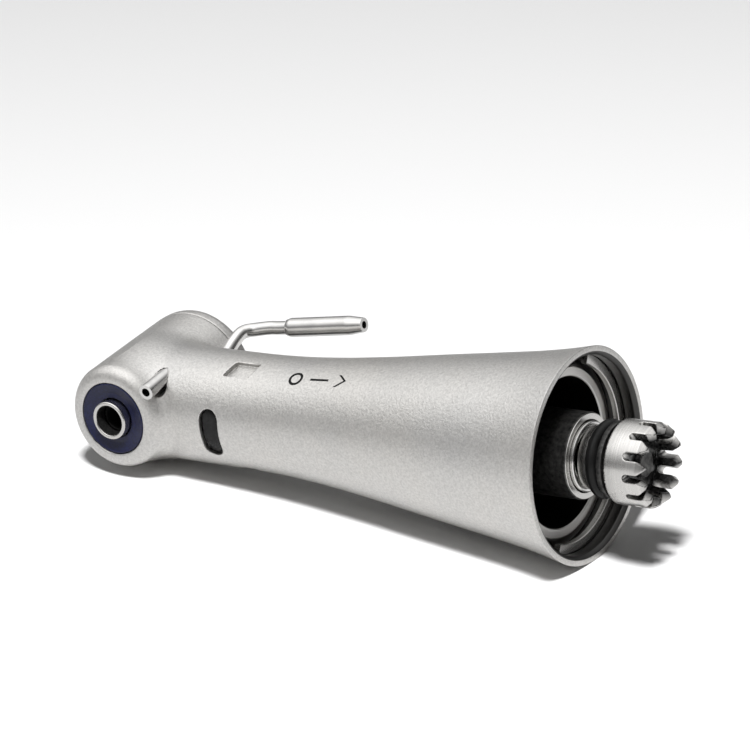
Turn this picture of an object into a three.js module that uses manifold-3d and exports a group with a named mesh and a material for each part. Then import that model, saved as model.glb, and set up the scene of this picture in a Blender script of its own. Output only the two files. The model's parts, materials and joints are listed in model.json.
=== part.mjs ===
// Short 20:1 surgical contra-angle handpiece, in millimetres.
//
// Inside this file everything is laid out from the plane of the tail rim: X runs out of the tail
// along the body axis, the bur leaves the head along -Y, the push button faces +Y, and Z is up when
// the handpiece lies on its side. The exported group is shifted so that its origin is the centre of
// the flat end of the drive shaft, which is the face that lines up with the motor.
import * as THREE from "three";
import { mergeVertices } from "three/addons/utils/BufferGeometryUtils.js";
import Module from "manifold-3d";

const wasm = await Module();
wasm.setup();

// ---- driving dimensions ---------------------------------------------------------------------
const SHAFT_END = 6.1; // flat end of the drive shaft, beyond the rim plane
const HEAD_X = -48.8; // head axis, from the rim plane
const RIM_R = 10;
const NECK_R = 5.52;
const BODY_OUTLINE = [
  [0, RIM_R], [-2.2, 9.5], [-5.3, 8.95], [-10.4, 8.25], [-15.6, 7.55], [-20.8, 6.8],
  [-26, 6.15], [-29.7, 5.8], [-32.6, 5.62], [-35.3, 5.54], [-38, NECK_R], [-46, NECK_R],
];
const BUR_FACE = -6.44; // bur-side face of the head, along Y
const CAP_SEAM = 6.85; // where the head cap starts, along Y
const CAP_R = 6.24;
const RUNNING_GAP = 0.05; // radial clearance between pieces that turn in each other
const SEAT_GAP = 0.05; // clearance round a piece that sits still in its seat

const MOUTH_R = 9.1; // tail socket, inside the rim
const NOSE_R = 6.9; // bore that takes the motor nose
const SLEEVE_R = 7.3;
const SOCKET_FLOOR = -12.2;
const GEARBOX_R = 4.3;
const GEARBOX_END = -24.5;
const NECK_BORE_R = 2.9;
const CAVITY_R = 4.3; // head cavity, open towards the cap
const COLLAR_R = 3.52; // coloured collar round the chuck
const LOWER_SEAT_R = 3.45;

const MODULE = 0.2; // planetary gears
const SUN_TEETH = 12;
const PLANET_TEETH = 12;
const RING_TEETH = 36;
const ARM = (MODULE * (SUN_TEETH + PLANET_TEETH)) / 2;
const PIN_R = 0.35;
const STAGE_1 = [-17.2, -14.2];
const STAGE_2 = [-21.9, -19.2];
const PRESSURE_ANGLE = (25 * Math.PI) / 180;
const ADDENDUM = 0.75;
const DEDENDUM = 1.15;
const BACKLASH = 0.14; // taken off each tooth's thickness at the pitch circle, in modules

const BEVEL_MODULE = 0.4;
const PINION_TEETH = 12;
const CROWN_WHEEL_TEETH = 15;
const BEVEL_FACE = 1.2;
const OUTPUT_R = 1.2;

const SPINDLE_R = 1.7;
const SPINDLE_TIP = -7.05;
const SPINDLE_TOP = 5.2;
const CHUCK_BORE_R = 1.42;
const BUR_R = 1.19;
const BUTTON_R = 4.65;

const TUBE_R = 0.66;
const TUBE_BORE_R = 0.4;
const BARB_R = 0.95;
const WINDOW = { x: -38.2, turn: (-7 * Math.PI) / 180, wide: 1.7, long: 4.6, top: 5.35, floor: 3.9 };
const POCKET = { x: -35.9, turn: (65 * Math.PI) / 180, wide: 2.8, long: 1.9, skew: 0.55, depth: 0.4 };
const GUIDE = { from: [-8.6, -4.45, -4.7], to: [-37.25, -4.37, -0.54], r: 0.5 };

// ---- helpers --------------------------------------------------------------------------------
const X = new THREE.Vector3(1, 0, 0);
const Y = new THREE.Vector3(0, 1, 0);
const Z = new THREE.Vector3(0, 0, 1);

function basis(x, y, z, at = new THREE.Vector3()) {
  return new THREE.Matrix4().makeBasis(x, y, z).setPosition(at);
}

// A three.js geometry as a manifold solid: positions only, merged, with no collapsed triangles.
function solid(geometry) {
  const bare = geometry.clone();
  bare.deleteAttribute("normal");
  bare.deleteAttribute("uv");
  const merged = mergeVertices(bare, 1e-4);
  const kept = [];
  const index = merged.index.array;
  for (let i = 0; i < index.length; i += 3) {
    const [a, b, c] = [index[i], index[i + 1], index[i + 2]];
    if (a !== b && b !== c && a !== c) kept.push(a, b, c);
  }
  return new wasm.Manifold(
    new wasm.Mesh({
      numProp: 3,
      vertProperties: merged.attributes.position.array,
      triVerts: new Uint32Array(kept),
    }),
  );
}

function geometryOf(manifold) {
  const mesh = manifold.getMesh();
  const geometry = new THREE.BufferGeometry();
  geometry.setAttribute("position", new THREE.BufferAttribute(mesh.vertProperties, 3));
  geometry.setIndex(new THREE.BufferAttribute(mesh.triVerts, 1));
  return geometry;
}

function cut(geometry, ...tools) {
  return geometryOf(tools.reduce((left, tool) => left.subtract(solid(tool)), solid(geometry)));
}

function join(...geometries) {
  return geometryOf(geometries.slice(1).reduce((sum, g) => sum.add(solid(g)), solid(geometries[0])));
}

// A profile of [along, radius] points turned about the Y axis. It closes on itself, or on the axis.
function turnedY(profile, segments = 20) {
  const area = profile.reduce((sum, [a, r], i) => {
    const [b, q] = profile[(i + 1) % profile.length];
    return sum + r * b - q * a;
  }, 0);
  const ordered = area > 0 ? profile : [...profile].reverse();
  const onAxis = ordered.filter(([, r]) => r === 0).length > 0;
  const points = ordered.map(([a, r]) => new THREE.Vector2(r, a));
  if (!onAxis) points.push(points[0].clone());
  return geometryOf(solid(new THREE.LatheGeometry(onAxis ? fromAxis(points) : points, segments)));
}

// Rotates an on-axis profile's points so that it starts and ends on the axis.
function fromAxis(points) {
  const last = points.length - 1;
  const start = points.findIndex((p, i) => p.x === 0 && points[i === 0 ? last : i - 1].x === 0);
  return start <= 0 ? points : [...points.slice(start), ...points.slice(0, start)];
}

function turnedX(profile, segments = 20) {
  return turnedY(profile, segments).applyMatrix4(basis(Y, X, Z.clone().negate()));
}

function ringX(x0, x1, inner, outer, segments = 20) {
  return turnedX([[x0, inner], [x0, outer], [x1, outer], [x1, inner]], segments);
}

function ringY(y0, y1, inner, outer, segments = 20) {
  return turnedY([[y0, inner], [y0, outer], [y1, outer], [y1, inner]], segments);
}

function discX(x0, x1, radius, segments = 20) {
  return turnedX([[x0, 0], [x0, radius], [x1, radius], [x1, 0]], segments);
}

function discY(y0, y1, radius, segments = 20) {
  return turnedY([[y0, 0], [y0, radius], [y1, radius], [y1, 0]], segments);
}

// A flat shape pushed along X from x0 to x1; the shape's x and y become Y and Z.
function pushedX(shape, x0, x1, curveSegments = 8) {
  const options = { depth: x1 - x0, bevelEnabled: false, curveSegments };
  return new THREE.ExtrudeGeometry(shape, options).applyMatrix4(basis(Y, Z, X, X.clone().multiplyScalar(x0)));
}

function rodBetween(from, to, radius, segments = 12) {
  const [a, b] = [new THREE.Vector3(...from), new THREE.Vector3(...to)];
  const way = b.clone().sub(a);
  const turn = new THREE.Quaternion().setFromUnitVectors(Y, way.clone().normalize());
  const rod = new THREE.CylinderGeometry(radius, radius, way.length(), segments);
  return rod.applyQuaternion(turn).translate(...a.lerp(b, 0.5).toArray());
}

// A round wire or tube swept along a curve; a bore of 0 makes it solid.
function swept(curve, radius, bore, steps, sides = 12) {
  const ring = new THREE.Shape().absarc(0, 0, radius, 0, 2 * Math.PI);
  if (bore) ring.holes.push(new THREE.Path().absarc(0, 0, bore, 0, 2 * Math.PI, true));
  const options = { steps, extrudePath: curve, bevelEnabled: false, curveSegments: sides / 2 };
  return new THREE.ExtrudeGeometry(ring, options);
}

// A flat shape pushed outwards from the body axis, between two radii, at a place on the body's side.
// turn is measured from the bur side (-Y) towards +Z.
function pushedOut(shape, x, turn, from, to, curveSegments = 8) {
  const out = new THREE.Vector3(0, -Math.cos(turn), Math.sin(turn));
  const round = new THREE.Vector3(0, Math.sin(turn), Math.cos(turn));
  const options = { depth: to - from, bevelEnabled: false, curveSegments };
  const at = out.clone().multiplyScalar(from).setX(x);
  return new THREE.ExtrudeGeometry(shape, options).applyMatrix4(basis(X, round, out, at));
}

function pill(wide, long) {
  const r = wide / 2;
  const straight = long / 2 - r;
  const shape = new THREE.Shape();
  shape.absarc(0, straight, r, 0, Math.PI);
  shape.absarc(0, -straight, r, Math.PI, 2 * Math.PI);
  return shape;
}

// ---- gear teeth -----------------------------------------------------------------------------
function involute(base, r) {
  return r > base ? Math.sqrt((r / base) ** 2 - 1) - Math.acos(base / r) : 0;
}

// Half the angle a tooth takes up at radius r, for a gear of this pitch radius and tooth count.
function halfTooth(pitch, teeth, r, slack) {
  const base = pitch * Math.cos(PRESSURE_ANGLE);
  return (Math.PI / 2 - slack) / teeth + involute(base, pitch) - involute(base, r);
}

function toothPoints(pitch, teeth, radii, slack) {
  const points = [];
  for (let i = 0; i < teeth; i++) {
    const centre = (2 * Math.PI * i) / teeth;
    for (const r of radii) points.push([r, centre - halfTooth(pitch, teeth, r, slack)]);
    for (const r of [...radii].reverse()) points.push([r, centre + halfTooth(pitch, teeth, r, slack)]);
  }
  return points;
}

function polar([r, a]) {
  return new THREE.Vector2(r * Math.cos(a), r * Math.sin(a));
}

// External spur gear on the X axis, with one tooth pointing along +Y when turn is 0.
function spurGear(teeth, [x0, x1], bore, turn = 0) {
  const pitch = (MODULE * teeth) / 2;
  const radii = [pitch - DEDENDUM * MODULE, pitch + ADDENDUM * MODULE];
  const outline = toothPoints(pitch, teeth, radii, BACKLASH).map(([r, a]) => polar([r, a + turn]));
  const shape = new THREE.Shape(outline);
  shape.holes.push(new THREE.Path().absarc(0, 0, bore, 0, 2 * Math.PI, true));
  return pushedX(shape, x0, x1, 6);
}

// Ring gear with internal teeth, one of them pointing in from +Y. Its gaps are the teeth of an external gear.
function ringGear(x0, x1) {
  const pitch = (MODULE * RING_TEETH) / 2;
  const radii = [pitch - ADDENDUM * MODULE, pitch + DEDENDUM * MODULE];
  const half = Math.PI / RING_TEETH;
  const gaps = toothPoints(pitch, RING_TEETH, radii, -BACKLASH).map(([r, a]) => polar([r, a + half]));
  const shape = new THREE.Shape().absarc(0, 0, GEARBOX_R, 0, 2 * Math.PI);
  shape.holes.push(new THREE.Path(gaps));
  return pushedX(shape, x0, x1, 20);
}

// Straight bevel gear about +Z with the pitch apex at the origin: tooth outlines on the back cone,
// drawn again nearer the apex at a smaller scale.
function bevelTeeth(teeth, mate, turn) {
  const cone = Math.atan(teeth / mate);
  const pitch = (BEVEL_MODULE * teeth) / 2;
  const away = pitch / Math.tan(cone);
  const virtual = pitch / Math.cos(cone);
  const heights = [-DEDENDUM, ADDENDUM].map((h) => h * BEVEL_MODULE);
  const radii = heights.map((h) => virtual + h);
  const count = teeth / Math.cos(cone);
  const near = 1 - BEVEL_FACE / Math.hypot(pitch, away);
  const outline = [];
  for (let i = 0; i < teeth; i++) {
    const centre = turn + (2 * Math.PI * i) / teeth;
    const side = (sign) => (r) => {
      const half = halfTooth(virtual, count, r, BACKLASH) / Math.cos(cone);
      const radius = pitch + (r - virtual) * Math.cos(cone);
      const angle = centre + sign * half;
      return [radius * Math.cos(angle), radius * Math.sin(angle), away - (r - virtual) * Math.sin(cone)];
    };
    outline.push(...radii.map(side(-1)), ...[...radii].reverse().map(side(1)));
  }
  const n = outline.length;
  const back = away + DEDENDUM * BEVEL_MODULE * Math.sin(cone);
  const inner = outline.map((p) => p.map((c) => c * near));
  const points = [...outline, ...inner, [0, 0, back], [0, 0, back * near]];
  const faces = [];
  for (let i = 0; i < n; i++) {
    const j = (i + 1) % n;
    faces.push(n + i, n + j, j, n + i, j, i, 2 * n, i, j, 2 * n + 1, n + j, n + i);
  }
  const geometry = new THREE.BufferGeometry();
  geometry.setAttribute("position", new THREE.BufferAttribute(new Float32Array(points.flat()), 3));
  geometry.setIndex(faces);
  return { geometry, back };
}

// ---- ball bearings --------------------------------------------------------------------------
// Turned about Y from y0 to y1; the caller turns the pieces to X where the shaft needs it.
function bearing({ y0, y1, bore, outer, pitch, ball, balls }) {
  const middle = (y0 + y1) / 2;
  const inner = pitch - ball - RUNNING_GAP / 2;
  const outside = pitch + ball + RUNNING_GAP / 2;
  const innerRace = ringY(y0, y1, bore, inner);
  const outerRace = ringY(y0, y1, outside, outer);
  const thin = ball * 0.4;
  const half = ball * 0.45;
  const spheres = Array.from({ length: balls }, (_, i) => {
    const at = (2 * Math.PI * i) / balls;
    const sphere = new THREE.SphereGeometry(ball - RUNNING_GAP, 6, 3);
    return sphere.translate(pitch * Math.cos(at), middle, pitch * Math.sin(at));
  });
  const cage = join(ringY(middle - half, middle + half, pitch - thin, pitch + thin, 12), ...spheres);
  return { innerRace, outerRace, cage };
}

function asX(pieces, shift = 0) {
  const turn = basis(Y, X, Z.clone().negate(), new THREE.Vector3(shift, 0, 0));
  return Object.fromEntries(Object.entries(pieces).map(([k, g]) => [k, g.applyMatrix4(turn)]));
}

function atHead(geometry) {
  return geometry.translate(HEAD_X, 0, 0);
}

function helix(radius, from, to, turns, steps) {
  const points = Array.from({ length: steps + 1 }, (_, i) => {
    const a = (2 * Math.PI * turns * i) / steps;
    return new THREE.Vector3(radius * Math.cos(a), from + ((to - from) * i) / steps, radius * Math.sin(a));
  });
  return new THREE.CatmullRomCurve3(points);
}

// ---- irrigation line ------------------------------------------------------------------------
// Nozzle on the bur side, a run through the neck, a bend behind the cap and a straight hose tail.
const NOZZLE_TIP = [-44.2, -6.65, 3.28];
const NOZZLE_END = [-44.42, -1.2, 3.95];
const LINE = new THREE.CatmullRomCurve3(
  [
    [-44.42, -0.9, 3.98], [-44.3, 0.7, 3.85], [-43.95, 2.3, 3.4], [-43.5, 3.9, 3.1],
    [-43.2, 5.2, 3.4], [-43.07, 6.3, 4.08], [-42.97, 7.2, 4.52], [-42.7, 7.9, 4.69],
    [-41.94, 8.55, 4.73], [-40.47, 8.9, 4.94], [-39.2, 8.97, 5.05], [-36, 9.12, 5.45],
    [-31, 9.2, 6.1],
  ].map((p) => new THREE.Vector3(...p)),
);
const BARB = { from: [-38.35, 9.03, 5.14], to: [-29.6, 9.22, 6.28] };

function nozzle() {
  const body = rodBetween(NOZZLE_TIP, NOZZLE_END, 0.78, 16);
  return cut(body, longer(NOZZLE_TIP, NOZZLE_END, 1, 0.43));
}

// A rod between two points, run on past both of them, for use as a drill.
function longer(from, to, by, radius, segments = 12) {
  const [a, b] = [new THREE.Vector3(...from), new THREE.Vector3(...to)];
  const way = b.clone().sub(a).setLength(by);
  return rodBetween(a.sub(way).toArray(), b.add(way).toArray(), radius, segments);
}

function hoseBarb() {
  const a = new THREE.Vector3(...BARB.from);
  const b = new THREE.Vector3(...BARB.to);
  const length = a.distanceTo(b);
  const bore = TUBE_R + 0.16;
  const body = turnedY([
    [0, bore], [0.3, BARB_R], [length - 1.7, BARB_R], [length, BARB_R * 0.76],
    [length, 0.36], [length - 1.1, 0.36], [length - 1.1, bore],
  ], 20);
  const turn = new THREE.Quaternion().setFromUnitVectors(Y, b.clone().sub(a).normalize());
  return body.applyQuaternion(turn).translate(...a.toArray());
}

// ---- housing --------------------------------------------------------------------------------
function headBarrel() {
  return atHead(turnedY([
    [BUR_FACE, 0], [BUR_FACE, 4.25], [-6.2, 4.7], [-5.6, 5.02], [-4.2, 5.22], [-1, 5.55],
    [2.5, 5.85], [CAP_SEAM, CAP_R], [CAP_SEAM, 0],
  ], 28));
}

function bodyShell() {
  const outside = turnedX([[0, 0], ...BODY_OUTLINE, [-46, 0]], 32);
  const socket = turnedX([
    [1, 0], [1, MOUTH_R + 0.3], [0, MOUTH_R + 0.3], [-0.35, MOUTH_R], [-1.35, MOUTH_R], [-1.35, 9.25],
    [-2.25, 9.25], [-2.25, MOUTH_R], [-3.2, MOUTH_R - 0.2], [-3.2, SLEEVE_R + SEAT_GAP],
    [SOCKET_FLOOR - 0.8, SLEEVE_R + SEAT_GAP], [SOCKET_FLOOR - 0.8, GEARBOX_R + SEAT_GAP],
    [GEARBOX_END, GEARBOX_R + SEAT_GAP], [GEARBOX_END, NECK_BORE_R + SEAT_GAP],
    [HEAD_X, NECK_BORE_R + SEAT_GAP], [HEAD_X, 0],
  ], 36);
  const chuckWell = atHead(turnedY([
    [BUR_FACE - 1, 0], [BUR_FACE - 1, COLLAR_R + SEAT_GAP], [-5.3, COLLAR_R + SEAT_GAP],
    [-5.3, LOWER_SEAT_R + SEAT_GAP], [-3.6, LOWER_SEAT_R + SEAT_GAP], [-3.6, CAVITY_R],
    [CAP_SEAM + 1, CAVITY_R], [CAP_SEAM + 1, 0],
  ], 24));
  const frame = pill(WINDOW.wide, WINDOW.long);
  const side = POCKET.wide / 2;
  const deep = POCKET.long / 2;
  const lean = POCKET.skew / 2;
  const slant = (sign) => new THREE.Shape([
    new THREE.Vector2(-side - lean * sign, -deep), new THREE.Vector2(side - lean * sign, -deep),
    new THREE.Vector2(side + lean * sign, deep), new THREE.Vector2(-side + lean * sign, deep),
  ]);
  const pocket = (sign) =>
    pushedOut(slant(sign), POCKET.x, sign * POCKET.turn, NECK_R - POCKET.depth, NECK_R + 1);
  return cut(
    join(outside, headBarrel()),
    socket,
    chuckWell,
    pushedOut(frame, WINDOW.x, WINDOW.turn, WINDOW.floor - 0.1, NECK_R + 1),
    pocket(1),
    pocket(-1),
    longer(GUIDE.from, GUIDE.to, 0, GUIDE.r + 0.1),
    longer(NOZZLE_TIP, NOZZLE_END, 0, 0.9, 16),
    rodBetween([-43.6, -6.3, 2.75], [-44.15, -4.1, 3.25], 0.65),
    swept(LINE, TUBE_R + 0.12, 0, 26, 8),
  );
}

function snapRing() {
  const [from, to] = [-2.0, 1.135];
  const shape = new THREE.Shape();
  shape.absarc(0, 0, 9.2, from, to);
  shape.absarc(0, 0, 8.2, to, from, true);
  return pushedX(shape, -2.1, -1.5, 18);
}

function socketSleeve() {
  return turnedX([
    [SOCKET_FLOOR + 0.1, NOSE_R], [SOCKET_FLOOR + 0.1, SLEEVE_R], [-3.1, SLEEVE_R], [-3.1, 8.75],
    [-2.95, 8.75], [-2.5, 7.75], [-2.5, NOSE_R + 0.12], [-2.62, NOSE_R],
  ], 36);
}

function bearingTube() {
  const tube = turnedX([
    [SOCKET_FLOOR - 0.7, 3.3], [SOCKET_FLOOR - 0.7, SLEEVE_R], [SOCKET_FLOOR, SLEEVE_R], [SOCKET_FLOOR, 4],
    [0, 4], [0, 3.3],
  ], 36);
  return cut(tube, longer(GUIDE.from, GUIDE.to, 0, GUIDE.r + 0.1));
}

function lightInlet() {
  const turn = Math.atan2(GUIDE.from[2], GUIDE.from[1]);
  const block = new THREE.BoxGeometry(3.2, 2.1, 2.2);
  block.rotateX(turn).translate(-10.5, 5.62 * Math.cos(turn), 5.62 * Math.sin(turn));
  return cut(block, longer(GUIDE.from, GUIDE.to, 1, GUIDE.r + 0.08), ringX(-13, -8, NOSE_R - 0.12, 9, 36));
}

function lightWindow() {
  const lens = pill(WINDOW.wide - 2 * SEAT_GAP, WINDOW.long - 2 * SEAT_GAP);
  return pushedOut(lens, WINDOW.x, WINDOW.turn, WINDOW.floor, WINDOW.top);
}

function chuckCollar() {
  return atHead(turnedY([
    [-5.4, 1.98], [-5.4, COLLAR_R], [BUR_FACE + 0.02, COLLAR_R], [BUR_FACE + 0.3, 2.6],
    [BUR_FACE + 0.35, 1.98],
  ]));
}

// ---- turning pieces -------------------------------------------------------------------------
function inputShaft() {
  return turnedX([
    [STAGE_1[0] - 0.1, 0], [STAGE_1[0] - 0.1, 0.6], [STAGE_1[1] + 0.4, 0.6], [STAGE_1[1] + 0.4, 1.6],
    [-3, 1.6], [-3, 2], [0.5, 2], [0.65, 2.95], [1.5, 2.95], [1.5, 2.38], [2.8, 2.38], [2.8, 2.95],
    [2.9, 3.55], [3.4, 3.55], [3.45, 2.6], [3.6, 2.6], [3.6, 1.2], [SHAFT_END, 1.2], [SHAFT_END, 0],
  ], 20);
}

function oRing() {
  return new THREE.TorusGeometry(3.02, 0.6, 8, 20).rotateY(Math.PI / 2).translate(2.15, 0, 0);
}

function clutchCrown() {
  const teeth = 12;
  const blank = turnedX([
    [3.65, 1.25], [3.65, 3.6], [3.9, 3.9], [7.15, 3.9], [7.8, 3.4], [7.8, 2.85], [5.6, 2.6], [5.6, 1.25],
  ], 24);
  const slot = new THREE.Shape();
  slot.absarc(0, 6.1, 0.38, Math.PI, 2 * Math.PI);
  slot.lineTo(0.5, 9);
  slot.lineTo(-0.5, 9);
  const slots = Array.from({ length: teeth }, (_, i) => {
    const out = { depth: 3, bevelEnabled: false, curveSegments: 3 };
    const cutter = new THREE.ExtrudeGeometry(slot, out).translate(0, 0, 1.9);
    cutter.applyMatrix4(basis(Z, X, Y));
    return cutter.rotateX((2 * Math.PI * i) / teeth);
  });
  return cut(blank, ...slots);
}

// Planet carrier: a plate with three pins that stand out of it along X.
function carrier(x0, x1, pinTip, bore) {
  const plate = ringX(x0, x1, bore, 3.2, 20);
  const pins = [0, 1, 2].map((i) => {
    const at = (2 * Math.PI * i) / 3;
    const [y, z] = [ARM * Math.cos(at), ARM * Math.sin(at)];
    return rodBetween([x1 - 0.2, y, z], [pinTip, y, z], PIN_R, 8);
  });
  return join(plate, ...pins);
}

function planet(stage, i) {
  const at = (2 * Math.PI * i) / 3;
  const gear = spurGear(PLANET_TEETH, stage, PIN_R + RUNNING_GAP, Math.PI / PLANET_TEETH + at);
  return gear.translate(0, ARM * Math.cos(at), ARM * Math.sin(at));
}

// The second sun gear, with the short sleeve that joins it to the first carrier.
function secondSun() {
  const sleeve = ringX(STAGE_2[1] - 0.1, -17.62, 0.25, 0.48, 16);
  return join(spurGear(SUN_TEETH, STAGE_2, 0.4), sleeve);
}

function bevelPinion() {
  const { geometry, back } = bevelTeeth(PINION_TEETH, CROWN_WHEEL_TEETH, 0);
  const teeth = atHead(geometry.applyMatrix4(basis(Y, Z, X)));
  const hub = discX(HEAD_X + back - 0.1, HEAD_X + back + 0.7, 1.9, 12);
  return cut(join(teeth, hub), discX(HEAD_X, HEAD_X + 6, 0.95, 12));
}

function crownWheel() {
  const turn = Math.PI / 2 + Math.PI / CROWN_WHEEL_TEETH;
  const { geometry, back } = bevelTeeth(CROWN_WHEEL_TEETH, PINION_TEETH, turn);
  const teeth = geometry.applyMatrix4(basis(Z, X, Y));
  const hub = discY(back - 0.1, 3.5, 2.35, 15);
  return atHead(cut(join(teeth, hub), discY(0, 5, SPINDLE_R + 0.02, 20)));
}

function outputShaft() {
  const x1 = -22.1;
  return turnedX([
    [HEAD_X + 2.25, 0], [HEAD_X + 2.25, 0.9], [-44.7, 0.9], [-44.7, OUTPUT_R], [-23.5, OUTPUT_R],
    [-23.5, 0.9], [x1, 0.9], [x1, 0],
  ], 20);
}

function chuckSpindle() {
  return atHead(turnedY([
    [SPINDLE_TIP, 1.55], [SPINDLE_TIP, 1.8], [SPINDLE_TIP + 0.1, 1.88], [-5.3, 1.88], [-5.3, SPINDLE_R],
    [SPINDLE_TOP, SPINDLE_R], [SPINDLE_TOP, CHUCK_BORE_R], [-6.5, CHUCK_BORE_R], [-6.6, 1.5],
  ], 20));
}

function collet() {
  const tube = ringY(-6.45, 1.2, BUR_R, CHUCK_BORE_R - 0.04, 20);
  const slit = new THREE.BoxGeometry(4, 4, 0.3).translate(0, 1, 0);
  return atHead(cut(tube, slit));
}

function releasePlunger() {
  return atHead(turnedY([
    [2.7, 0], [2.7, 1.3], [3.1, 1.3], [3.1, 0.95], [5.5, 0.95], [5.65, 0.8], [5.65, 0],
  ], 20));
}

function pushButton() {
  return atHead(turnedY([
    [5.75, 0], [5.75, 0.9], [7.9, 1], [7.9, 3.2], [6.3, 3.2], [6.3, 3.8], [7.95, 3.8], [7.95, BUTTON_R],
    [8.55, BUTTON_R], [8.75, BUTTON_R - 0.25], [8.86, 2.6], [8.9, 0],
  ], 24));
}

function headCap() {
  return atHead(turnedY([
    [5.1, 3.9], [5.1, CAVITY_R - 0.05], [CAP_SEAM + 0.1, CAVITY_R - 0.05], [CAP_SEAM + 0.1, CAP_R],
    [8.1, 6.16], [8.5, 5.95], [8.65, 5.6], [8.65, 4.75], [7.3, 4.75], [7.3, 3.9],
  ], 24));
}

// ---- assembly -------------------------------------------------------------------------------
const STEEL = { color: 0xbdbab3, roughness: 0.45, metalness: 1 };
const BRIGHT = { color: 0xd0cfcb, roughness: 0.2, metalness: 1 };
const DARK_STEEL = { color: 0x33312f, roughness: 0.5, metalness: 0.9 };
const BRONZE = { color: 0x8a6a4a, roughness: 0.45, metalness: 0.9 };
const RUBBER = { color: 0x0c0c0d, roughness: 0.5, metalness: 0 };
const NAVY = { color: 0x141b45, roughness: 0.45, metalness: 0.2 };
const GLASS = { color: 0x1a1c1e, roughness: 0.1, metalness: 0 };

const handpiece = new THREE.Group();
const layout = new THREE.Group();
layout.position.x = -SHAFT_END;
handpiece.add(layout);

function place(name, geometry, finish) {
  const mesh = new THREE.Mesh(geometry, new THREE.MeshStandardMaterial(finish));
  mesh.name = name;
  layout.add(mesh);
}

const rear = asX(bearing({
  y0: -2.7, y1: -0.7, bore: 2.03, outer: 3.26, pitch: 2.64, ball: 0.36, balls: 6,
}));
const neck = asX(bearing({
  y0: -27.6, y1: -25.6, bore: OUTPUT_R + 0.03, outer: NECK_BORE_R, pitch: 2.05, ball: 0.45, balls: 6,
}));
const lower = bearing({
  y0: -5.2, y1: -3.7, bore: SPINDLE_R + 0.03, outer: LOWER_SEAT_R, pitch: 2.58, ball: 0.42, balls: 6,
});
const upper = bearing({
  y0: 3.6, y1: 5, bore: SPINDLE_R + 0.03, outer: CAVITY_R - 0.05, pitch: 2.95, ball: 0.5, balls: 6,
});

place("body_shell", bodyShell(), STEEL);
place("socket_sleeve", socketSleeve(), STEEL);
place("snap_ring", snapRing(), BRIGHT);
place("bearing_tube", bearingTube(), DARK_STEEL);
place("bearing_washer", ringX(-0.5, 0.4, 2.3, 3.24), BRIGHT);
place("rear_bearing_outer_race", rear.outerRace, BRIGHT);
place("rear_bearing_ball_cage", rear.cage, BRIGHT);
place("rear_bearing_inner_race", rear.innerRace, BRIGHT);
place("shaft_bush", ringX(SOCKET_FLOOR, -10.4, 1.6 + RUNNING_GAP, 3.25), BRONZE);
place("light_inlet", lightInlet(), BRONZE);
place("light_guide_rod", rodBetween(GUIDE.from, GUIDE.to, GUIDE.r), GLASS);
place("light_window", lightWindow(), GLASS);

place("input_shaft", inputShaft(), BRIGHT);
place("clutch_crown", clutchCrown(), BRIGHT);
place("shaft_o_ring", oRing(), RUBBER);
place("sun_gear_1", spurGear(SUN_TEETH, STAGE_1, 0.62), BRIGHT);
place("ring_gear", ringGear(GEARBOX_END + 0.1, SOCKET_FLOOR - 1.2), STEEL);
for (const i of [0, 1, 2]) place(`planet_gear_1${"abc"[i]}`, planet(STAGE_1, i), BRIGHT);
place("planet_carrier_1", carrier(-18.4, -17.6, STAGE_1[1] + 0.15, 0.5), STEEL);
place("sun_gear_2", secondSun(), BRIGHT);
for (const i of [0, 1, 2]) place(`planet_gear_2${"abc"[i]}`, planet(STAGE_2, i), BRIGHT);
place("planet_carrier_2", carrier(-23.2, -22.4, STAGE_2[1] + 0.15, 0.92), STEEL);
place("output_shaft", outputShaft(), BRIGHT);
place("neck_bearing_outer_race", neck.outerRace, BRIGHT);
place("neck_bearing_ball_cage", neck.cage, BRIGHT);
place("neck_bearing_inner_race", neck.innerRace, BRIGHT);
place("pinion_bush", ringX(-44.3, -42.2, OUTPUT_R + RUNNING_GAP, NECK_BORE_R), BRONZE);
place("bevel_pinion", bevelPinion(), BRIGHT);

place("chuck_collar", chuckCollar(), NAVY);
place("chuck_spindle", chuckSpindle(), BRIGHT);
place("chuck_collet", collet(), STEEL);
place("release_plunger", releasePlunger(), STEEL);
place("plunger_spring", atHead(swept(helix(1.05, 1.45, 2.5, 2.5, 30), 0.14, 0, 30, 4)), BRIGHT);
place("crown_wheel", crownWheel(), BRIGHT);
place("lower_bearing_outer_race", atHead(lower.outerRace), BRIGHT);
place("lower_bearing_ball_cage", atHead(lower.cage), BRIGHT);
place("lower_bearing_inner_race", atHead(lower.innerRace), BRIGHT);
place("upper_bearing_outer_race", atHead(upper.outerRace), BRIGHT);
place("upper_bearing_ball_cage", atHead(upper.cage), BRIGHT);
place("upper_bearing_inner_race", atHead(upper.innerRace), BRIGHT);
place("spring_washer", atHead(ringY(5.05, 5.25, 2.3, 3.8)), STEEL);
place("button_spring", atHead(swept(helix(2.6, 5.52, 7.65, 2.5, 40), 0.2, 0, 36, 4)), BRIGHT);
place("head_cap", headCap(), STEEL);
place("push_button", pushButton(), STEEL);

place("spray_nozzle", nozzle(), BRIGHT);
place("irrigation_tube", swept(LINE, TUBE_R, TUBE_BORE_R, 28, 8), BRIGHT);
place("hose_barb", hoseBarb(), BRIGHT);

export default handpiece;
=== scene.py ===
# Looks of a short surgical contra-angle handpiece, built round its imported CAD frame.
#
# Shapes are laid out in millimetres from the plane of the tail rim: X runs out of the tail, the bur
# leaves the head along -Y, and the push button faces +Y. place() turns them into the frame's metres.
import itertools
import json
import math

import bpy
import numpy as np
from mathutils import Matrix, Vector


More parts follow.
